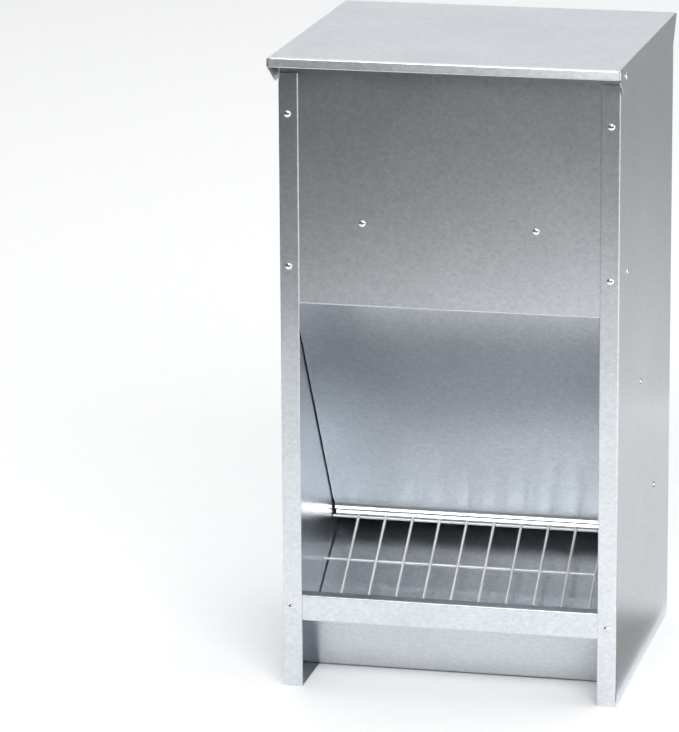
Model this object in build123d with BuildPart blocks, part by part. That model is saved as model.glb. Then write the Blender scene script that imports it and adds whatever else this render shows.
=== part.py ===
"""Galvanised hopper feeder with a front trough for poultry, as separate sheet, wire and rivet pieces.

+Z is up, the hens feed from -Y, X runs across the width. The origin is the centre of the footprint on the
floor. Lengths are in millimetres and angles in degrees.
"""

import os
from math import atan2, cos, degrees, radians, sin, tan

from build123d import *

os.makedirs("parts", exist_ok=True)

# ---- driving dimensions ----
WIDTH = 300.0  # over the two side panels
DEPTH = 280.0  # stile faces to the outer faces of the rear flanges
SHEET = 0.8  # galvanised sheet
LAP = 0.05  # gap left between two sheets that are riveted together
BEND = 1.2  # middle-line radius of an ordinary bend
HEM_RADIUS = 0.5  # half the distance between the middle lines of a closed hem's two leaves
HEM_CORNER = 0.49  # middle-line radius of each of a hem's two corners
FLANGE = 17.2  # inward flanges of the side panels: stiles, rear flanges and feet
SIDE_CLEAR = 1.8  # cross panels stop this far inside the outer width, clear of the corner bends
STILE_HEM = 6.0  # width of the leaf folded back behind the inner edge of a stile
FOOT_CLEAR = 0.5  # gap left between a foot and the folds in front of it and behind it
RETURN = 10.0  # depth of the stiffening folds along the tops of the front and back panels
MARGIN = 1.0  # cutting shapes reach this far past what they cut
DRILL_REACH = 4.0  # half length of the shapes that cut rivet holes

STILE_TOP = 556.6
PANEL_BOTTOM = 351.8  # lower hem of the front panel
PANEL_HEM = 11.0  # height of the front panel's hem
PANEL_TOP = 570.0
BACK_DROP = 1.2  # the back panel's middle line tops out this far under the side panels
WEB_TOP_FRONT = 571.0  # top edge of a side panel at the front, and at the rear
WEB_TOP_REAR = 567.2
WEB_CORNER = 6.0  # rounding that lets the lid turn over the front top corner

LID_HALF_WIDTH = 153.3
LID_REACH = 26.0  # how far the lid stands out in front of the stiles
LID_BACK = 275.0  # rear edge of the lid, behind the stile faces
LID_TOP_FRONT = 575.0
LID_TOP_BACK = 568.6
LID_SIDE_DROP = 25.0  # height of the lid's side flanges
LIP_BOTTOM = 566.9  # middle line of the lid's front lip, at its hem
LIP_LEAN = 10.0  # the lip flares forward towards its hem, from the vertical
LIP_HEM = 6.0  # height of the lip's hem
LIP_HALF_WIDTH = 151.6  # the lip stops short of the side flanges' outer faces
LIP_TAB = 11.0  # its ends turn back around the side flanges by this much
LIP_TAB_TOP = 574.0  # height of those tabs' upper edges
CORNER_NOTCH = 566.1  # the side flanges' front ends start under this height
TIP_DROP = 0.6  # how far the flanges' slanted ends run on below their lower edges
REAR_HEM = 10.0  # depth of the hem under the lid's rear edge
LID_TIP_BACK = 0.5  # the slanted front of a side flange ends this far in front of the stiles
LID_TAIL = 258.3  # lower rear corner of a side flange
TAIL_DROP = 2.0  # a side flange's rear slant starts this far under the lid's top

RAIL_TOP = 85.0
RAIL_BOTTOM = 62.0
RAIL_RETURN = 12.0  # depth of the rounded ledge along the top of the rail
TROUGH_POINT = 66.0  # the trough's lowest fold, behind the stile faces
CHUTE_ANGLE = 30.0  # slope of the hopper floor
PAN_LIP = 42.0  # length of the pan's own rear slope, under the chute
CHUTE_START = 9.0  # the chute starts this far up that slope
CHUTE_UPSTAND = 20.0  # height of the chute's rear flange

BAFFLE_ANGLE = 33.4  # from the vertical
BAFFLE_REF = (68.6, 305.3)  # a point of the baffle's front face: depth, height
BAFFLE_BOTTOM = 111.5
BAFFLE_TOP = 440.0
BAFFLE_TOE = 3.6  # height of the strip along the baffle's lower edge
BAFFLE_TOE_BEND = 3.0  # middle-line radius of the bend above that strip
TOE_FLARE = 25.0  # that strip and the throat strip's face flare forward downwards, from the vertical
BAFFLE_SIDE = 32.0  # width of the baffle's side flanges
BAFFLE_SIDE_LOW = 6.0  # the side flanges start this far above the baffle's lower edge
BAFFLE_SIDE_HIGH = 8.0  # and end this far below its fold

STRIP_RISE = 20.0  # the throat strip reaches this far up behind the baffle
STRIP_KINK = 3.2  # where the strip turns forward, below the baffle's lower edge
STRIP_BOTTOM = 8.9  # middle line of its hem, below the same edge
STRIP_HEM = 3.4  # height of the hem's inner leaf
STRIP_FORWARD = 0.6  # how far that turn stands forward of the slope's line
STRIP_REF = 4.2  # its depth is read off the slope's line this far below the same edge

WIRE = 2.5  # wire diameter
MESH_PITCH = 25.4
MESH_CELL = 50.0
MESH_COUNT = 11
CROSS_COUNT = 4
MESH_SHIFT = 3.0  # the cut piece of mesh isn't centred on its wires
MESH_ANGLE = 35.3  # slope of the grille
MESH_TOP = (193.0, 101.5)  # axis of the uppermost cross wire: depth, height
MESH_STUB = 1.3  # wire ends above the uppermost cross wire
MESH_LENGTH = 162.3  # whole length of a long wire
CROSS_HALF = 148.4  # half length of a cross wire

SHANK = 2.0  # blind rivet radii and heights
HEAD = 3.2
HEAD_HEIGHT = 1.3
CROWN = (2.3, 1.0)  # a point of the head's rounded outline: radius, height
MANDREL = 1.0  # the hole in the head, over the broken mandrel
MANDREL_TOP = 0.4  # height of the broken mandrel's end
TAIL = 2.7
TAIL_LENGTH = 3.0
TAIL_TIP = 1.6  # radius of the tail's end
TAIL_TAPER = 0.9  # length over which it narrows
RIVET_GAP = 0.05  # radial clearance of a shank in its hole

PIVOT = (6.0, 564.6)  # lid pivot axis: depth, height
PIVOT_PLAY = 0.15  # side play of the lid on its pivots
SPACER = 4.6  # outer radius of the washers between lid and side panels

# Depths are counted from the stile faces, so this is the row's y of depth 0.
FRONT = LID_REACH - (LID_REACH + DEPTH + HEAD_HEIGHT) / 2
HALF = WIDTH / 2
INNER_HALF = HALF - SIDE_CLEAR
STEP_IN = SHEET + LAP  # one sheet further in
BEHIND_STILE = STEP_IN + 2 * HEM_RADIUS  # front faces of what is riveted behind the hemmed stiles
LID_SLOPE = degrees(atan2(LID_TOP_FRONT - LID_TOP_BACK, LID_REACH + LID_BACK))
HEM = [HEM_CORNER, HEM_CORNER]  # the two corners of every hem


def side_plane(x):
    """A plane at x whose own x is depth from the row origin and own y is height."""
    return Plane(origin=(x, 0, 0), x_dir=(0, 1, 0), z_dir=(1, 0, 0))


def at(points):
    """Depth and height pairs as points of a side plane."""
    return [(FRONT + depth, height) for depth, height in points]


def sheet_section(plane, points, radii):
    """The section of a bent sheet, from the points of its middle line."""
    with BuildSketch(plane) as section:
        with BuildLine():
            FilletPolyline(*points, radius=radii)
        trace(line_width=SHEET)
    return section.sketch


def folded(points, radii, half_width):
    """A sheet bent only across its width, from the depth and height points of its middle line."""
    with BuildPart() as sheet:
        extrude(sheet_section(side_plane(0), at(points), radii), amount=half_width, both=True)
    return sheet.part


def drills(plane, places, reach=DRILL_REACH):
    """Cylinders that cut rivet holes through a sheet on the given plane."""
    with BuildPart() as bores:
        with BuildSketch(plane):
            with Locations(*places):
                Circle(SHANK + RIVET_GAP)
        extrude(amount=reach, both=True)
    return bores.part


def blind_rivet(grip):
    """A blind rivet along +Z: its head sits on the origin plane and its shank goes down through the grip."""
    tail_end = -grip - TAIL_LENGTH
    with BuildPart() as rivet:
        with BuildSketch(Plane.XZ):
            with BuildLine():
                Line((0, tail_end), (TAIL_TIP, tail_end))
                Line((TAIL_TIP, tail_end), (TAIL, tail_end + TAIL_TAPER))
                Line((TAIL, tail_end + TAIL_TAPER), (TAIL, -grip - LAP))
                Line((TAIL, -grip - LAP), (SHANK, -grip - LAP))
                Line((SHANK, -grip - LAP), (SHANK, LAP))
                Line((SHANK, LAP), (HEAD, LAP))
                ThreePointArc((HEAD, LAP), CROWN, (MANDREL, HEAD_HEIGHT))
                Line((MANDREL, HEAD_HEIGHT), (MANDREL, MANDREL_TOP))
                Line((MANDREL, MANDREL_TOP), (0, MANDREL_TOP))
                Line((0, MANDREL_TOP), (0, tail_end))
            make_face()
        revolve(axis=Axis.Z)
    return rivet.part


def rivet_group(spots, grip):
    """Identical rivets, one on each location, as one part of separate solids."""
    with BuildPart() as group:
        with Locations(*spots):
            add(blind_rivet(grip))
    return group.part


def save(part, name):
    """Label a finished piece and write it as one STEP file."""
    part.label = name
    export_step(part, f"parts/{name}.step")


def facing(origin, direction):
    """The location of a rivet whose head points along the direction."""
    return Plane(origin=origin, z_dir=direction).location


# ---- rivet places ----
STILE_X = HALF - 8.0
PANEL_RIVET_Z = (520.8, 385.2)
TROUGH_RIVETS = {-1: (-142.0, 73.4), 1: (141.5, 71.4)}  # across and height; the right one sits lower
BAFFLE_FRONT_RIVETS = [(-76.6, 426.0), (76.6, 426.0)]
BAFFLE_SIDE_RIVETS = [(39.8, 385.5), (116.3, 266.5), (195.6, 148.1)]
BACK_RIVET_Z = (40.0, 200.0, 360.0, 520.0)
CHUTE_RIVET_X = (-90.0, 0.0, 90.0)
CHUTE_RIVET_RISE = 10.0  # above the fold of the chute's rear flange

# ---- middle lines worked out from the driving dimensions ----
slope = radians(CHUTE_ANGLE)
pan_point = (TROUGH_POINT, SHEET + LAP + SHEET / 2)
chute_start = (
    pan_point[0] + CHUTE_START * cos(slope) - STEP_IN * sin(slope),
    pan_point[1] + CHUTE_START * sin(slope) + STEP_IN * cos(slope),
)
back_depth = DEPTH - 1.5 * SHEET - LAP
chute_back = back_depth - STEP_IN
chute_fold = (chute_back, chute_start[1] + (chute_back - chute_start[0]) * tan(slope))

panel_depth = BEHIND_STILE + SHEET / 2
lean = radians(BAFFLE_ANGLE)
toe_flare = radians(TOE_FLARE)
baffle_flange_depth = panel_depth + STEP_IN


def baffle_depth(height, behind=SHEET / 2):
    """Depth of the baffle at a height, this far square behind its front face."""
    return BAFFLE_REF[0] + (BAFFLE_REF[1] - height) * tan(lean) + behind / cos(lean)


baffle_fold = (
    baffle_flange_depth,
    BAFFLE_REF[1] + (BAFFLE_REF[0] + SHEET / 2 / cos(lean) - baffle_flange_depth) / tan(lean),
)
baffle_end = (baffle_depth(BAFFLE_BOTTOM), BAFFLE_BOTTOM)

mesh_slope = radians(MESH_ANGLE)


def mesh_point(down, above=0.0):
    """Depth and height of a point this far down the grille from its top cross wire, and above its plane."""
    return (
        MESH_TOP[0] - down * cos(mesh_slope) - above * sin(mesh_slope),
        MESH_TOP[1] - down * sin(mesh_slope) + above * cos(mesh_slope),
    )


# ---- side panels: web, front stile, rear flange and foot, folded from one sheet ----
def side_panel(side):
    """One side panel. side is 1 for the right one (+X) and -1 for the left one."""
    edge = side * (HALF - SHEET / 2)
    inner = side * (HALF - FLANGE)
    hem_edge = side * (HALF - FLANGE + SHEET / 2)
    front_mid = FRONT + SHEET / 2
    leaf_mid = front_mid + 2 * HEM_RADIUS
    rear_mid = FRONT + DEPTH - SHEET / 2
    loop = [
        (hem_edge + side * STILE_HEM, leaf_mid),
        (hem_edge, leaf_mid),
        (hem_edge, front_mid),
        (edge, front_mid),
        (edge, rear_mid),
        (inner, rear_mid),
    ]
    foot_front = FRONT + BEHIND_STILE + FOOT_CLEAR
    foot_rear = FRONT + DEPTH - SHEET - FOOT_CLEAR
    with BuildPart() as panel:
        extrude(sheet_section(Plane.XY, loop, [*HEM, BEND, BEND]), amount=WEB_TOP_FRONT)
        # the foot, folded in between the stile and the rear flange
        with BuildSketch(Plane.XY):
            with Locations((side * (HALF - SHEET / 2 - FLANGE / 2), (foot_front + foot_rear) / 2)):
                Rectangle(FLANGE - SHEET, foot_rear - foot_front)
        extrude(amount=SHEET)
        # the stile stops below the lid, and the web goes on
        with BuildSketch(Plane.XY.offset(STILE_TOP)):
            with Locations((side * (HALF - FLANGE), FRONT)):
                Rectangle(2 * (FLANGE - BEND - SHEET), 2 * (BEHIND_STILE + LAP))
        extrude(amount=WEB_TOP_FRONT - STILE_TOP, mode=Mode.SUBTRACT)
        # sloping top edge with a rounded front corner
        with BuildSketch(side_plane(side * HALF)):
            with BuildLine():
                corner = FRONT + WEB_CORNER
                corner_foot = WEB_TOP_FRONT - WEB_CORNER
                above = WEB_TOP_FRONT + MARGIN
                before = FRONT - MARGIN
                Line((corner, WEB_TOP_FRONT), (FRONT + DEPTH, WEB_TOP_REAR))
                Line((FRONT + DEPTH, WEB_TOP_REAR), (FRONT + DEPTH, above))
                Line((FRONT + DEPTH, above), (before, above))
                Line((before, above), (before, corner_foot))
                Line((before, corner_foot), (FRONT, corner_foot))
                RadiusArc((FRONT, corner_foot), (corner, WEB_TOP_FRONT), WEB_CORNER)
            make_face()
        extrude(amount=FLANGE + SHEET, both=True, mode=Mode.SUBTRACT)
        # rivet holes
        stile_holes = [(side * STILE_X, z) for z in PANEL_RIVET_Z] + [TROUGH_RIVETS[side]]
        add(drills(Plane.XZ.offset(-FRONT), stile_holes), mode=Mode.SUBTRACT)
        rear_holes = [(side * STILE_X, z) for z in BACK_RIVET_Z]
        rear_plane = Plane.XZ.offset(-FRONT - DEPTH)
        add(drills(rear_plane, rear_holes), mode=Mode.SUBTRACT)
        web_holes = at([*BAFFLE_SIDE_RIVETS, PIVOT])
        add(drills(side_plane(side * HALF), web_holes), mode=Mode.SUBTRACT)
    return panel.part


save(side_panel(-1), "left_side_panel")
save(side_panel(1), "right_side_panel")

# ---- front panel, behind the stiles ----
with BuildPart() as front_panel:
    hem_back = panel_depth + 2 * HEM_RADIUS
    panel_line = [
        (panel_depth + RETURN, PANEL_TOP - SHEET / 2),
        (panel_depth, PANEL_TOP - SHEET / 2),
        (panel_depth, PANEL_BOTTOM + SHEET / 2),
        (hem_back, PANEL_BOTTOM + SHEET / 2),
        (hem_back, PANEL_BOTTOM + PANEL_HEM),
    ]
    add(folded(panel_line, [BEND, *HEM], INNER_HALF))
    panel_holes = [(side * STILE_X, z) for side in (-1, 1) for z in PANEL_RIVET_Z]
    front_plane = Plane.XZ.offset(-FRONT)
    all_holes = panel_holes + BAFFLE_FRONT_RIVETS
    add(drills(front_plane, all_holes), mode=Mode.SUBTRACT)
save(front_panel.part, "front_panel")

# ---- back panel, in front of the rear flanges ----
with BuildPart() as back_panel:
    back_line = [
        (back_depth - RETURN, WEB_TOP_REAR - BACK_DROP),
        (back_depth, WEB_TOP_REAR - BACK_DROP),
        (back_depth, SHEET + LAP),
    ]
    add(folded(back_line, [BEND], INNER_HALF))
    chute_rivet_z = chute_fold[1] + CHUTE_RIVET_RISE
    back_holes = [(side * STILE_X, z) for side in (-1, 1) for z in BACK_RIVET_Z]
    back_holes += [(x, chute_rivet_z) for x in CHUTE_RIVET_X]
    back_plane = Plane.XZ.offset(-FRONT - back_depth)
    add(drills(back_plane, back_holes), mode=Mode.SUBTRACT)
save(back_panel.part, "back_panel")

# ---- trough pan: rail, sloping front wall and a lip under the chute ----
with BuildPart() as trough_pan:
    pan_line = [
        (panel_depth + RAIL_RETURN, RAIL_TOP - SHEET / 2),
        (panel_depth, RAIL_TOP - SHEET / 2),
        (panel_depth, RAIL_BOTTOM),
        pan_point,
        (pan_point[0] + PAN_LIP * cos(slope), pan_point[1] + PAN_LIP * sin(slope)),
    ]
    add(folded(pan_line, [BEND, BEND, BEND], INNER_HALF))
    pan_holes = list(TROUGH_RIVETS.values())
    add(drills(front_plane, pan_holes), mode=Mode.SUBTRACT)
save(trough_pan.part, "trough_pan")

# ---- hopper floor, sloping down from the back panel onto the pan's lip ----
with BuildPart() as floor_chute:
    chute_line = [chute_start, chute_fold, (chute_back, chute_fold[1] + CHUTE_UPSTAND)]
    add(folded(chute_line, [BEND], INNER_HALF))
    chute_holes = [(x, chute_rivet_z) for x in CHUTE_RIVET_X]
    add(drills(back_plane, chute_holes), mode=Mode.SUBTRACT)
save(floor_chute.part, "floor_chute")

# ---- baffle: the slanted plate between the feeding window and the hopper ----
with BuildPart() as baffle_plate:
    baffle_line = [
        (baffle_flange_depth, BAFFLE_TOP),
        baffle_fold,
        baffle_end,
        (baffle_end[0] - BAFFLE_TOE * tan(toe_flare), BAFFLE_BOTTOM - BAFFLE_TOE),
    ]
    add(folded(baffle_line, [BEND, BAFFLE_TOE_BEND], INNER_HALF - SHEET))
    # side flanges, folded back along the side panels
    flange_low = BAFFLE_BOTTOM + BAFFLE_SIDE_LOW
    flange_high = baffle_fold[1] - BAFFLE_SIDE_HIGH
    flange_edge = BAFFLE_SIDE / cos(lean)
    corners = [
        (baffle_depth(flange_low), flange_low),
        (baffle_depth(flange_high), flange_high),
        (baffle_depth(flange_high) + flange_edge, flange_high),
        (baffle_depth(flange_low) + flange_edge, flange_low),
    ]
    for side in (-1, 1):
        with BuildSketch(side_plane(side * INNER_HALF)):
            Polygon(*at(corners), align=None)
        extrude(amount=-side * SHEET)
    add(drills(front_plane, BAFFLE_FRONT_RIVETS), mode=Mode.SUBTRACT)
    flange_holes = at(BAFFLE_SIDE_RIVETS)
    add(drills(side_plane(0), flange_holes, HALF), mode=Mode.SUBTRACT)
save(baffle_plate.part, "baffle_plate")

# ---- throat strip: a hemmed strip welded behind the baffle's lower edge ----
with BuildPart() as throat_strip:
    strip_behind = SHEET / 2 + STEP_IN
    strip_top = BAFFLE_BOTTOM + STRIP_RISE
    strip_turn = baffle_depth(BAFFLE_BOTTOM - STRIP_REF, strip_behind) - STRIP_FORWARD
    strip_foot = (
        strip_turn - (STRIP_BOTTOM - STRIP_KINK) * tan(toe_flare),
        BAFFLE_BOTTOM - STRIP_BOTTOM,
    )
    inner_foot = (
        strip_foot[0] + 2 * HEM_RADIUS * cos(toe_flare),
        strip_foot[1] - 2 * HEM_RADIUS * sin(toe_flare),
    )
    strip_line = [
        (baffle_depth(strip_top, strip_behind), strip_top),
        (strip_turn, BAFFLE_BOTTOM - STRIP_KINK),
        strip_foot,
        inner_foot,
        (inner_foot[0] + STRIP_HEM * tan(toe_flare), inner_foot[1] + STRIP_HEM),
    ]
    add(folded(strip_line, [BEND, *HEM], INNER_HALF - 2 * SHEET))
save(throat_strip.part, "throat_strip")

# ---- lid: top, side flanges and hemmed front lip ----
with BuildPart() as lid:
    tilt = radians(LID_SLOPE)
    lid_plane = Plane(
        origin=(0, FRONT + LID_BACK, LID_TOP_BACK), x_dir=(1, 0, 0), z_dir=(0, -cos(tilt), sin(tilt))
    )
    half_mid = LID_HALF_WIDTH - SHEET / 2
    cover = [
        (-half_mid, -LID_SIDE_DROP),
        (-half_mid, -SHEET / 2),
        (half_mid, -SHEET / 2),
        (half_mid, -LID_SIDE_DROP),
    ]
    flare = radians(LIP_LEAN)
    lip_foot = (-LID_REACH + SHEET / 2, LIP_BOTTOM)
    lip_height = LID_TOP_FRONT - SHEET / 2 - LIP_BOTTOM
    lip_top = (lip_foot[0] + lip_height * tan(flare), LIP_BOTTOM + lip_height)
    cover_front = lip_top[0] + BEND
    extrude(sheet_section(lid_plane, cover, BEND), amount=(LID_BACK - cover_front) / cos(tilt))
    # slanted ends of the side flanges
    flange_foot = LID_TOP_FRONT - LID_SIDE_DROP
    front_cut = [
        (-LID_REACH - MARGIN, CORNER_NOTCH),
        (-LID_REACH, CORNER_NOTCH),
        (-LID_TIP_BACK, flange_foot - TIP_DROP),
        (-LID_TIP_BACK, flange_foot - LID_SIDE_DROP),
        (-LID_REACH - MARGIN, flange_foot - LID_SIDE_DROP),
    ]
    tail_top = LID_TOP_BACK - TAIL_DROP
    tail_foot = LID_TOP_BACK - LID_SIDE_DROP
    tail_cut = [
        (LID_BACK + MARGIN, tail_top),
        (LID_BACK, tail_top),
        (LID_TAIL, tail_foot),
        (LID_TAIL, tail_foot - MARGIN),
        (LID_BACK + MARGIN, tail_foot - MARGIN),
    ]
    for cut in (front_cut, tail_cut):
        with BuildSketch(side_plane(0)):
            Polygon(*at(cut), align=None)
        extrude(amount=LID_HALF_WIDTH + MARGIN, both=True, mode=Mode.SUBTRACT)
    # front lip, hemmed inwards along its lower edge
    leaf_foot = (
        lip_foot[0] + 2 * HEM_RADIUS * cos(flare),
        lip_foot[1] - 2 * HEM_RADIUS * sin(flare),
    )
    lip_line = [
        (lip_top[0] + RETURN, lip_top[1] - RETURN * tan(tilt)),
        lip_top,
        lip_foot,
        leaf_foot,
        (leaf_foot[0] + LIP_HEM * sin(flare), leaf_foot[1] + LIP_HEM * cos(flare)),
    ]
    add(folded(lip_line, [BEND, *HEM], LIP_HALF_WIDTH))
    # the lip's ends, turned back around the side flanges as tabs
    tab_mid = LID_HALF_WIDTH + LAP + SHEET / 2
    tab_plane = Plane(
        origin=(0, FRONT + lip_foot[0], lip_foot[1]),
        x_dir=(1, 0, 0),
        z_dir=(0, sin(flare), cos(flare)),
    )
    for side in (-1, 1):
        tab_line = [
            (side * (LIP_HALF_WIDTH - MARGIN), 0),
            (side * tab_mid, 0),
            (side * tab_mid, LIP_TAB),
        ]
        extrude(sheet_section(tab_plane, tab_line, BEND), amount=LIP_TAB_TOP - LIP_BOTTOM)
    # rear edge, hemmed under
    hem_middle = REAR_HEM / 2
    with BuildSketch(side_plane(0)):
        hem_height = LID_TOP_BACK - 1.5 * SHEET + hem_middle * tan(tilt)
        with Locations(*at([(LID_BACK - hem_middle, hem_height)])):
            Rectangle(REAR_HEM, SHEET, rotation=-LID_SLOPE)
    extrude(amount=INNER_HALF - MARGIN, both=True)
    for side in (-1, 1):
        pivot_hole = drills(side_plane(side * LID_HALF_WIDTH), at([PIVOT]))
        add(pivot_hole, mode=Mode.SUBTRACT)
save(lid.part, "lid")

# ---- grille: a loose piece of welded mesh ----
for number in range(MESH_COUNT):
    with BuildPart() as long_wire:
        place_x = MESH_SHIFT + (number - (MESH_COUNT - 1) / 2) * MESH_PITCH
        wire_gap = WIRE + LAP
        top_depth, top_height = mesh_point(-MESH_STUB, wire_gap)
        wire_plane = Plane(
            origin=(place_x, FRONT + top_depth, top_height),
            z_dir=(0, -cos(mesh_slope), -sin(mesh_slope)),
        )
        with BuildSketch(wire_plane):
            Circle(WIRE / 2)
        extrude(amount=MESH_LENGTH)
    save(long_wire.part, f"grille_long_wire_{number + 1:02d}")

for number in range(CROSS_COUNT):
    with BuildPart() as cross_wire:
        with BuildSketch(side_plane(0)):
            with Locations(*at([mesh_point(number * MESH_CELL)])):
                Circle(WIRE / 2)
        extrude(amount=CROSS_HALF, both=True)
    save(cross_wire.part, f"grille_cross_wire_{number + 1}")

# ---- fasteners ----
two_sheets = 2 * SHEET + LAP
stile_and_panel = BEHIND_STILE + SHEET
front_face = FRONT
rear_face = FRONT + DEPTH
to_front = (0, -1, 0)
to_rear = (0, 1, 0)

panel_spots = [facing((x, front_face, z), to_front) for x, z in panel_holes]
save(rivet_group(panel_spots, stile_and_panel), "front_panel_rivets")

trough_spots = [facing((x, front_face, z), to_front) for x, z in pan_holes]
save(rivet_group(trough_spots, stile_and_panel), "trough_rivets")

baffle_face = FRONT + BEHIND_STILE
baffle_spots = [facing((x, baffle_face, z), to_front) for x, z in BAFFLE_FRONT_RIVETS]
save(rivet_group(baffle_spots, two_sheets), "baffle_front_rivets")

web_to_flange = SIDE_CLEAR + SHEET
for side, name in ((-1, "left_baffle_rivets"), (1, "right_baffle_rivets")):
    spots = [facing((side * HALF, y, z), (side, 0, 0)) for y, z in flange_holes]
    save(rivet_group(spots, web_to_flange), name)

back_spots = [facing((side * STILE_X, rear_face, z), to_rear) for side in (-1, 1) for z in BACK_RIVET_Z]
save(rivet_group(back_spots, two_sheets), "back_panel_rivets")

chute_face = FRONT + back_depth + SHEET / 2
chute_spots = [facing((x, chute_face, chute_rivet_z), to_rear) for x in CHUTE_RIVET_X]
save(rivet_group(chute_spots, two_sheets), "chute_rivets")

pivot_head = LID_HALF_WIDTH + PIVOT_PLAY
pivot_y, pivot_z = at([PIVOT])[0]
pivot_spots = [facing((side * pivot_head, pivot_y, pivot_z), (side, 0, 0)) for side in (-1, 1)]
save(rivet_group(pivot_spots, pivot_head - HALF + SHEET), "lid_pivot_rivets")

with BuildPart() as lid_pivot_spacers:
    spacer_length = LID_HALF_WIDTH - SHEET - PIVOT_PLAY - HALF - LAP
    for side in (-1, 1):
        with BuildSketch(side_plane(side * (HALF + LAP))):
            with Locations(*at([PIVOT])):
                Circle(SPACER)
                Circle(SHANK + RIVET_GAP, mode=Mode.SUBTRACT)
        extrude(amount=side * spacer_length)
save(lid_pivot_spacers.part, "lid_pivot_spacers")
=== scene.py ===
import math

import bmesh
import bpy
from mathutils import Matrix, Vector


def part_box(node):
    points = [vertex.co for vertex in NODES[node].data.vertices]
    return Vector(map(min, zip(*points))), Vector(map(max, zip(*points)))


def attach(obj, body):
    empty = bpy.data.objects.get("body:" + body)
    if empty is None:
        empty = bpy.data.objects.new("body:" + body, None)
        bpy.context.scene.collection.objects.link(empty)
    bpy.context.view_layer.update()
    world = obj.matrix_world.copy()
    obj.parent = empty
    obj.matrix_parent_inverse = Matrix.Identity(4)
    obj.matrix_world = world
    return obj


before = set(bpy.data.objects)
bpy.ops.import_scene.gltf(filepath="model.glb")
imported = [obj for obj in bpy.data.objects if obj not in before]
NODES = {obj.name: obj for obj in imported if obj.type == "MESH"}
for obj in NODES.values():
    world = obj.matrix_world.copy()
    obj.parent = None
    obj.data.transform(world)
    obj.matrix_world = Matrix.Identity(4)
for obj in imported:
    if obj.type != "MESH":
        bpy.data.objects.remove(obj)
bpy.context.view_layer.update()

MM = 0.001
scene = bpy.context.scene
scene.view_settings.view_transform = "Standard"

# ---------------------------------------------------------------- camera
CAMERA_AZIMUTH = math.radians(13.017)  # turned from the front towards the right side
CAMERA_ELEVATION = math.radians(14.984)
CAMERA_ROLL = math.radians(-0.383)
CAMERA_DISTANCE = 4.3155
CAMERA_TARGET = Vector((-0.09713, -0.12765, 0.29756))
CAMERA_SENSOR = 36.0
CAMERA_LENS = 242.9
CAMERA_CLIP_END = 60.0


def make_camera():
    ce, se = math.cos(CAMERA_ELEVATION), math.sin(CAMERA_ELEVATION)
    ca, sa = math.cos(CAMERA_AZIMUTH), math.sin(CAMERA_AZIMUTH)
    back = Vector((sa * ce, -ca * ce, se))
    level = Vector((ca, sa, 0.0))
    upright = back.cross(level)
    cr, sr = math.cos(CAMERA_ROLL), math.sin(CAMERA_ROLL)
    right = level * cr + upright * sr
    up = upright * cr - level * sr
    data = bpy.data.cameras.new("camera")
    data.lens = CAMERA_LENS
    data.sensor_width = CAMERA_SENSOR
    data.clip_end = CAMERA_CLIP_END
    obj = bpy.data.objects.new("camera", data)
    turn = Matrix((right, up, back)).transposed()
    obj.matrix_world = Matrix.Translation(CAMERA_TARGET + back * CAMERA_DISTANCE) @ turn.to_4x4()
    scene.collection.objects.link(obj)
    scene.camera = obj


make_camera()


# ---------------------------------------------------------------- node helpers
EDGE_SAMPLES = 4
EDGE_TURN = (0.75, 0.99)  # cosine between bevelled and true normal: a sharp edge, flat ground


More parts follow.
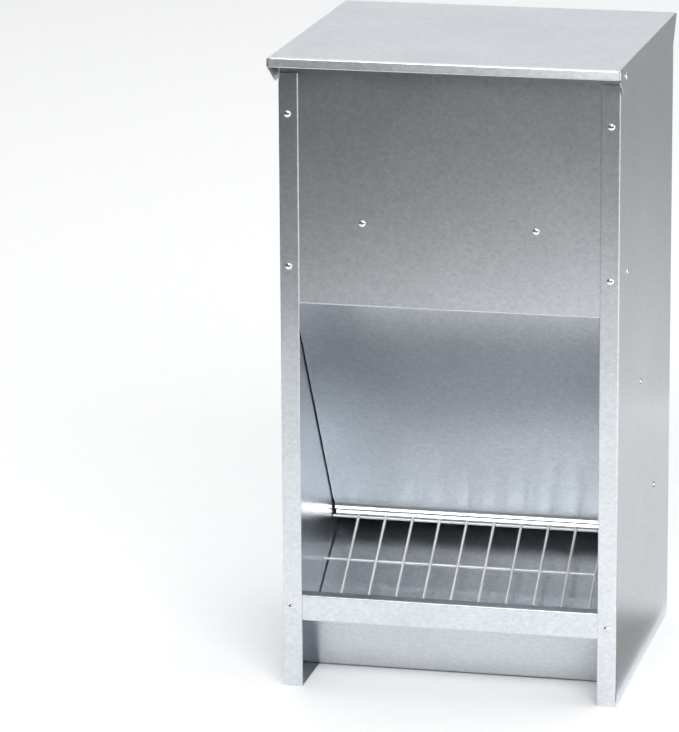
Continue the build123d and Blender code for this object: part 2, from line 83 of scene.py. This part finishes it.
class Shader:
    """A node tree under construction: each call adds one node and returns its output socket."""

    def __init__(self, name):
        self.material = bpy.data.materials.new(name)
        self.material.use_nodes = True
        self.tree = self.material.node_tree
        self.tree.nodes.clear()
        self.surface = self.tree.nodes.new("ShaderNodeBsdfPrincipled")
        out = self.tree.nodes.new("ShaderNodeOutputMaterial")
        self.tree.links.new(self.surface.outputs["BSDF"], out.inputs["Surface"])
        self.place = self.tree.nodes.new("ShaderNodeTexCoord").outputs["Object"]

    def feed(self, socket, value):
        """Link a value that comes from a node, and set any other."""
        if isinstance(value, bpy.types.NodeSocket):
            self.tree.links.new(value, socket)
        else:
            socket.default_value = value

    def set(self, name, value):
        self.feed(self.surface.inputs[name], value)

    def noise(self, scale, detail, roughness, stretch=None):
        node = self.tree.nodes.new("ShaderNodeTexNoise")
        node.inputs["Scale"].default_value = scale
        node.inputs["Detail"].default_value = detail
        node.inputs["Roughness"].default_value = roughness
        self.tree.links.new(self.stretched(stretch), node.inputs["Vector"])
        return node.outputs["Fac"]

    def stretched(self, stretch):
        if stretch is None:
            return self.place
        node = self.tree.nodes.new("ShaderNodeMapping")
        node.inputs["Scale"].default_value = stretch
        self.tree.links.new(self.place, node.inputs["Vector"])
        return node.outputs["Vector"]

    def cells(self, scale):
        """One even grey per crystal of the zinc."""
        node = self.tree.nodes.new("ShaderNodeTexVoronoi")
        node.inputs["Scale"].default_value = scale
        node.inputs["Randomness"].default_value = 1.0
        self.tree.links.new(self.place, node.inputs["Vector"])
        split = self.tree.nodes.new("ShaderNodeSeparateColor")
        self.tree.links.new(node.outputs["Color"], split.inputs["Color"])
        return split.outputs["Red"]

    def span(self, value, low, high, start=0.0, end=1.0):
        node = self.tree.nodes.new("ShaderNodeMapRange")
        self.tree.links.new(value, node.inputs["Value"])
        node.inputs["From Min"].default_value = start
        node.inputs["From Max"].default_value = end
        node.inputs["To Min"].default_value = low
        node.inputs["To Max"].default_value = high
        return node.outputs["Result"]

    def math(self, kind, a, b):
        node = self.tree.nodes.new("ShaderNodeMath")
        node.operation = kind
        for socket, value in zip(node.inputs, (a, b)):
            self.feed(socket, value)
        return node.outputs["Value"]

    def blend(self, amount, a, b):
        node = self.tree.nodes.new("ShaderNodeMix")
        node.data_type = "RGBA"
        self.feed(node.inputs["Factor"], amount)
        for key, value in (("A_Color", a), ("B_Color", b)):
            socket = next(s for s in node.inputs if s.identifier == key)
            self.feed(socket, value if isinstance(value, bpy.types.NodeSocket) else (*value, 1.0))
        return next(s for s in node.outputs if s.identifier == "Result_Color")

    def edge(self, radius):
        """1 along sharp edges, 0 on flat ground."""
        bevel = self.tree.nodes.new("ShaderNodeBevel")
        bevel.samples = EDGE_SAMPLES
        bevel.inputs["Radius"].default_value = radius
        geometry = self.tree.nodes.new("ShaderNodeNewGeometry")
        dot = self.tree.nodes.new("ShaderNodeVectorMath")
        dot.operation = "DOT_PRODUCT"
        self.tree.links.new(bevel.outputs["Normal"], dot.inputs[0])
        self.tree.links.new(geometry.outputs["Normal"], dot.inputs[1])
        return self.span(dot.outputs["Value"], 1.0, 0.0, *EDGE_TURN)

    def bump(self, height, distance, strength, under=None):
        node = self.tree.nodes.new("ShaderNodeBump")
        node.inputs["Strength"].default_value = strength
        node.inputs["Distance"].default_value = distance
        self.tree.links.new(height, node.inputs["Height"])
        if under is not None:
            self.tree.links.new(under, node.inputs["Normal"])
        return node.outputs["Normal"]


FINE = (0.2, 0.8)  # the stretch of a fine noise that is spread over a whole range of tones
BROAD = (0.3, 0.7)  # the same for a slow noise

ZINC_DARK = (0.60, 0.63, 0.665)
ZINC_LIGHT = (0.83, 0.86, 0.895)
ZINC_ROUGHNESS = 0.29
SPANGLE_SCALE = 300.0  # crystals
SPANGLE_TONE = 0.10
SPANGLE_ROUGHNESS = 0.006
GRAIN_NOISE = (480.0, 2.0, 0.5)  # scale, detail, roughness of each noise
GRAIN_TONE = 0.15
GRAIN_ROUGHNESS = 0.012
GRAIN_BUMP = (0.015 * MM, 0.35)  # height, strength of each bump
MOTTLE_NOISE = (300.0, 2.0, 0.6, (0.75, 0.75, 1.2))  # and the scale of each axis: wider than high
MOTTLE_TONE = 0.20
CLOUD_NOISE = (9.0, 2.0, 0.5)
CLOUD_TONE = (0.38, 0.62)
WAVE_NOISE = (5.5, 1.0, 0.4)  # a slow unevenness
WAVE_BUMP = (4.0 * MM, 0.35)
# Painted highlight: along sharp edges the zinc's colour is blended towards a pale grey, standing in for light
# caught on the edges.
EDGE_HIGHLIGHT_RADIUS = 0.6 * MM
EDGE_HIGHLIGHT_COLOUR = (0.93, 0.94, 0.95)
EDGE_HIGHLIGHT_MIX = 0.35
EDGE_POLISH = 0.04  # sharp edges are smoother by this much, under their painted highlight


def galvanised(name):
    """Hot-dip zinc: crystals, a fine grain, a mottle, a slow cloudiness, and a painted highlight along sharp
    edges.
    """
    s = Shader(name)
    crystal = s.cells(SPANGLE_SCALE)
    grain = s.noise(*GRAIN_NOISE)
    cloud = s.noise(*CLOUD_NOISE)
    tone = s.math(
        "ADD",
        s.span(crystal, -SPANGLE_TONE, SPANGLE_TONE),
        s.span(grain, -GRAIN_TONE, GRAIN_TONE, *FINE),
    )
    mottle = s.noise(*MOTTLE_NOISE)
    tone = s.math("ADD", tone, s.span(mottle, -MOTTLE_TONE, MOTTLE_TONE, *BROAD))
    tone = s.math("ADD", tone, s.span(cloud, *CLOUD_TONE, *BROAD))
    colour = s.blend(tone, ZINC_DARK, ZINC_LIGHT)
    # painted highlight: a pale grey blended into the colour along sharp edges
    edge_highlight = s.edge(EDGE_HIGHLIGHT_RADIUS)
    s.set("Base Color", s.blend(s.math("MULTIPLY", edge_highlight, EDGE_HIGHLIGHT_MIX), colour, EDGE_HIGHLIGHT_COLOUR))
    roughness = s.math(
        "ADD",
        s.span(crystal, ZINC_ROUGHNESS - SPANGLE_ROUGHNESS, ZINC_ROUGHNESS + SPANGLE_ROUGHNESS),
        s.span(grain, -GRAIN_ROUGHNESS, GRAIN_ROUGHNESS, *FINE),
    )
    roughness = s.math("SUBTRACT", roughness, s.math("MULTIPLY", edge_highlight, EDGE_POLISH))
    s.set("Roughness", roughness)
    s.set("Metallic", 1.0)
    slow = s.bump(s.noise(*WAVE_NOISE), *WAVE_BUMP)
    s.set("Normal", s.bump(grain, *GRAIN_BUMP, slow))
    return s.material


WIRE_GRAIN_NOISE = (900.0, 3.0, 0.6)
WIRE_GRAIN_TONE = 0.25
WIRE_PATCH_NOISE = (60.0, 2.0, 0.5)
WIRE_PATCH_TONE = (0.1, 0.9)
WIRE_DARK = (0.72, 0.73, 0.74)
WIRE_LIGHT = (0.90, 0.91, 0.91)
WIRE_ROUGHNESS = (0.38, 0.48)
WIRE_METALLIC = 0.4
WIRE_BUMP = (0.08 * MM, 0.4)


def drawn_wire(name):
    """Zinc-coated wire: brighter than the sheet, with a fine grain and paler patches."""
    s = Shader(name)
    grain = s.noise(*WIRE_GRAIN_NOISE)
    patch = s.noise(*WIRE_PATCH_NOISE)
    tone = s.math(
        "ADD",
        s.span(grain, -WIRE_GRAIN_TONE, WIRE_GRAIN_TONE, *FINE),
        s.span(patch, *WIRE_PATCH_TONE, *BROAD),
    )
    s.set("Base Color", s.blend(tone, WIRE_DARK, WIRE_LIGHT))
    s.set("Roughness", s.span(patch, *WIRE_ROUGHNESS, *BROAD))
    s.set("Metallic", WIRE_METALLIC)
    s.set("Normal", s.bump(grain, *WIRE_BUMP))
    return s.material


SCUFF_NOISE = (1500.0, 3.0, 0.6)
SCUFF_TONE = 0.2
SCUFF_ROUGHNESS = (0.16, 0.28)
SCUFF_BUMP = (0.03 * MM, 0.4)
RIVET_PATCH_NOISE = (180.0, 2.0, 0.5)
RIVET_PATCH_TONE = (0.2, 0.8)
RIVET_DARK = (0.74, 0.75, 0.77)
RIVET_LIGHT = (0.93, 0.94, 0.95)


def bare_aluminium(name):
    """Pressed aluminium: bright and a little scuffed."""
    s = Shader(name)
    scuff = s.noise(*SCUFF_NOISE)
    patch = s.noise(*RIVET_PATCH_NOISE)
    tone = s.math(
        "ADD",
        s.span(scuff, -SCUFF_TONE, SCUFF_TONE, *FINE),
        s.span(patch, *RIVET_PATCH_TONE, *BROAD),
    )
    s.set("Base Color", s.blend(tone, RIVET_DARK, RIVET_LIGHT))
    s.set("Roughness", s.span(scuff, *SCUFF_ROUGHNESS, *FINE))
    s.set("Metallic", 1.0)
    s.set("Normal", s.bump(scuff, *SCUFF_BUMP))
    return s.material


NYLON_NOISE = (1100.0, 2.0, 0.5)
NYLON_DARK = (0.012, 0.012, 0.013)
NYLON_LIGHT = (0.035, 0.035, 0.037)
NYLON_ROUGHNESS = (0.42, 0.58)
NYLON_BUMP = (0.05 * MM, 0.4)


def black_nylon(name):
    """Moulded black plastic with a fine satin grain."""
    s = Shader(name)
    grain = s.noise(*NYLON_NOISE)
    s.set("Base Color", s.blend(grain, NYLON_DARK, NYLON_LIGHT))
    s.set("Roughness", s.span(grain, *NYLON_ROUGHNESS, *FINE))
    s.set("Normal", s.bump(grain, *NYLON_BUMP))
    return s.material


SHEET = galvanised("galvanised_sheet")
WIRE = drawn_wire("galvanised_wire")
RIVET = bare_aluminium("rivet_aluminium")
SPACER = black_nylon("spacer_nylon")

for node_name, node in NODES.items():
    if "spacer" in node_name:
        paint = SPACER
    elif "rivets" in node_name:
        paint = RIVET
    elif "wire" in node_name:
        paint = WIRE
    else:
        paint = SHEET
    if not node.data.materials:
        node.data.materials.append(paint)
    for index in range(len(node.data.materials)):
        node.data.materials[index] = paint


# ---------------------------------------------------------------- weld nuggets of the grille
WELD_WAIST = 0.85 * MM  # radius of a nugget half way between its two wires
WELD_ENDS = 1.15 * MM  # radius where it runs into each wire
WELD_REACH = 0.9 * MM  # from its middle to each end
WELD_STEPS = 6
WELD_SIDES = 12


def middle(name):
    low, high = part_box(name)
    return (low + high) / 2


def weld_nuggets():
    """One waisted nugget of melted zinc and steel between the wires at every crossing, as one mesh."""
    cross = sorted((n for n in NODES if n.startswith("grille_cross")), key=lambda n: -middle(n).z)
    long = sorted(n for n in NODES if n.startswith("grille_long"))
    downhill = (middle(cross[-1]) - middle(cross[0])).normalized()
    out = Vector((1.0, 0.0, 0.0)).cross(downhill).normalized()
    if out.z < 0.0:
        out.negate()
    lift = (middle(long[0]) - middle(cross[0])).dot(out) / 2
    bm = bmesh.new()
    for cross_name in cross:
        for long_name in long:
            centre = middle(cross_name) + out * lift
            centre.x = middle(long_name).x
            rings = []
            for step in range(WELD_STEPS + 1):
                along = 2.0 * step / WELD_STEPS - 1.0
                radius = WELD_WAIST + (WELD_ENDS - WELD_WAIST) * along * along
                ring = []
                for side in range(WELD_SIDES):
                    turn = 2.0 * math.pi * side / WELD_SIDES
                    spoke = Vector((1.0, 0.0, 0.0)) * math.cos(turn) + downhill * math.sin(turn)
                    ring.append(bm.verts.new(centre + out * (along * WELD_REACH) + spoke * radius))
                rings.append(ring)
            for lower, upper in zip(rings, rings[1:]):
                for side in range(WELD_SIDES):
                    after = (side + 1) % WELD_SIDES
                    bm.faces.new((lower[side], lower[after], upper[after], upper[side]))
            bm.faces.new(list(reversed(rings[0])))
            bm.faces.new(rings[-1])
    bmesh.ops.recalc_face_normals(bm, faces=bm.faces)
    for face in bm.faces:
        face.smooth = True
    mesh = bpy.data.meshes.new("grille_welds")
    bm.to_mesh(mesh)
    bm.free()
    mesh.materials.append(WIRE)
    piece = bpy.data.objects.new("grille_welds", mesh)
    scene.collection.objects.link(piece)
    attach(piece, "grille")


weld_nuggets()


# ---------------------------------------------------------------- floor, cards and lights
def flat_piece(name, corners, material):
    mesh = bpy.data.meshes.new(name)
    bm = bmesh.new()
    bm.faces.new([bm.verts.new(corner) for corner in corners])
    bm.to_mesh(mesh)
    bm.free()
    mesh.materials.append(material)
    piece = bpy.data.objects.new(name, mesh)
    scene.collection.objects.link(piece)
    return piece


FLOOR_HALF = 9.0
FLOOR_NOISE = (40.0, 3.0, 0.5)
FLOOR_DARK = (0.90, 0.90, 0.90)
FLOOR_LIGHT = (0.93, 0.93, 0.93)
FLOOR_ROUGHNESS = (0.85, 0.95)
FLOOR_SPECULAR = 0.2


def pale_floor():
    s = Shader("pale_floor")
    fleck = s.noise(*FLOOR_NOISE)
    s.set("Base Color", s.blend(fleck, FLOOR_DARK, FLOOR_LIGHT))
    s.set("Roughness", s.span(fleck, *FLOOR_ROUGHNESS))
    s.set("Specular IOR Level", FLOOR_SPECULAR)
    corners = [(x * FLOOR_HALF, y * FLOOR_HALF, 0.0) for x, y in ((-1, -1), (1, -1), (1, 1), (-1, 1))]
    flat_piece("floor", corners, s.material)


def graded_card(name, corners, glow, heights=(0.0, 1.0), gains=(1.0, 1.0), axis="X", span=(0.0, 1.0)):
    """A glowing plane that glossy rays alone see.

    Its glow changes from the lower to the upper of two heights, and is multiplied by a gain that changes
    across a span of one axis.
    """
    material = bpy.data.materials.new(name)
    material.use_nodes = True
    tree = material.node_tree
    tree.nodes.clear()
    place = tree.nodes.new("ShaderNodeTexCoord").outputs["Object"]
    split = tree.nodes.new("ShaderNodeSeparateXYZ")
    tree.links.new(place, split.inputs["Vector"])
    limits = ("From Min", "From Max", "To Min", "To Max")
    rise = tree.nodes.new("ShaderNodeMapRange")
    rise.interpolation_type = "SMOOTHSTEP"
    tree.links.new(split.outputs["Z"], rise.inputs["Value"])
    for key, value in zip(limits, (*heights, *glow)):
        rise.inputs[key].default_value = value
    across = tree.nodes.new("ShaderNodeMapRange")
    tree.links.new(split.outputs[axis], across.inputs["Value"])
    for key, value in zip(limits, (*span, *gains)):
        across.inputs[key].default_value = value
    gain = tree.nodes.new("ShaderNodeMath")
    gain.operation = "MULTIPLY"
    tree.links.new(rise.outputs["Result"], gain.inputs[0])
    tree.links.new(across.outputs["Result"], gain.inputs[1])
    glowing = tree.nodes.new("ShaderNodeEmission")
    tree.links.new(gain.outputs["Value"], glowing.inputs["Strength"])
    out = tree.nodes.new("ShaderNodeOutputMaterial")
    tree.links.new(glowing.outputs["Emission"], out.inputs["Surface"])
    card = flat_piece(name, corners, material)
    card.visible_camera = False
    card.visible_diffuse = False
    card.visible_shadow = False
    card.visible_transmission = False


def upright_card(name, start, end, low, high, **grade):
    """A card over the ground line from start to end, between two heights."""
    (x0, y0), (x1, y1) = start, end
    graded_card(name, ((x0, y0, low), (x1, y1, low), (x1, y1, high), (x0, y0, high)), **grade)


def soft_light(name, place, aim, size, power):
    data = bpy.data.lights.new(name, "AREA")
    data.shape = "RECTANGLE"
    data.size, data.size_y = size
    data.energy = power
    obj = bpy.data.objects.new(name, data)
    obj.visible_camera = False
    obj.location = place
    obj.rotation_euler = (Vector(aim) - Vector(place)).to_track_quat("-Z", "Y").to_euler()
    scene.collection.objects.link(obj)


WORLD_COLOUR = (0.95, 0.97, 1.0, 1.0)
WORLD_STRENGTH = 0.27

CARD_FOOT, CARD_HEAD = 0.0, 0.8
SHADE_X = (0.157, 0.62)
SHADE_Y = (-0.14, 0.80)
SHADE_Z = 0.002

LIGHTS = (  # name, place, aim, size, power in watts
    ("key", (0.5, -2.3, 2.1), (0.0, 0.0, 0.1), (2.6, 1.2), 82.0),
    ("right", (2.6, -0.6, 0.9), (0.0, 0.0, 0.3), (1.2, 1.2), 14.0),
    ("top", (0.0, 2.0, 3.0), (0.0, 2.0, 0.0), (6.0, 4.4), 110.0),
    ("back", (-0.6, 5.2, 1.7), (0.0, 0.0, 0.6), (5.0, 2.6), 20.0),
)

pale_floor()
world = bpy.data.worlds.new("studio")
scene.world = world
world.use_nodes = True
background = world.node_tree.nodes["Background"]
background.inputs["Color"].default_value = WORLD_COLOUR
background.inputs["Strength"].default_value = WORLD_STRENGTH

# These cards shape what the metal mirrors, and are tuned for the camera's own angle: two in front of the
# object, one behind it to the right, one to its left, and one flat beside its right side, just over the floor.
upright_card(
    "front_card", (-3.0, -1.15), (2.4, -1.15), CARD_FOOT, CARD_HEAD,
    glow=(0.95, 0.0), heights=(0.0, 0.30), gains=(0.14, 1.08), span=(-0.42, -0.06),
)
upright_card(
    "lip_card", (-0.55, -1.14), (0.30, -1.14), 0.56, 0.80,
    glow=(1.0, 1.0), gains=(0.0, 1.25), span=(-0.17, -0.03),
)
upright_card(
    "side_card", (0.17, 0.9), (1.7, 0.5), CARD_FOOT, CARD_HEAD,
    glow=(0.68, 0.36), heights=(0.0, 0.36),
)
upright_card(
    "left_card", (-1.2, -1.1), (-1.2, 0.6), CARD_FOOT, CARD_HEAD,
    glow=(0.10, 0.10), heights=(0.0, 0.8),
)
(left, right), (front, rear) = SHADE_X, SHADE_Y
graded_card(
    "side_shade", [(x, y, SHADE_Z) for x, y in ((left, front), (right, front), (right, rear), (left, rear))],
    glow=(0.31, 0.31), gains=(1.0, 2.5), axis="Y", span=(0.11, 0.17),
)

for light in LIGHTS:
    soft_light(*light)
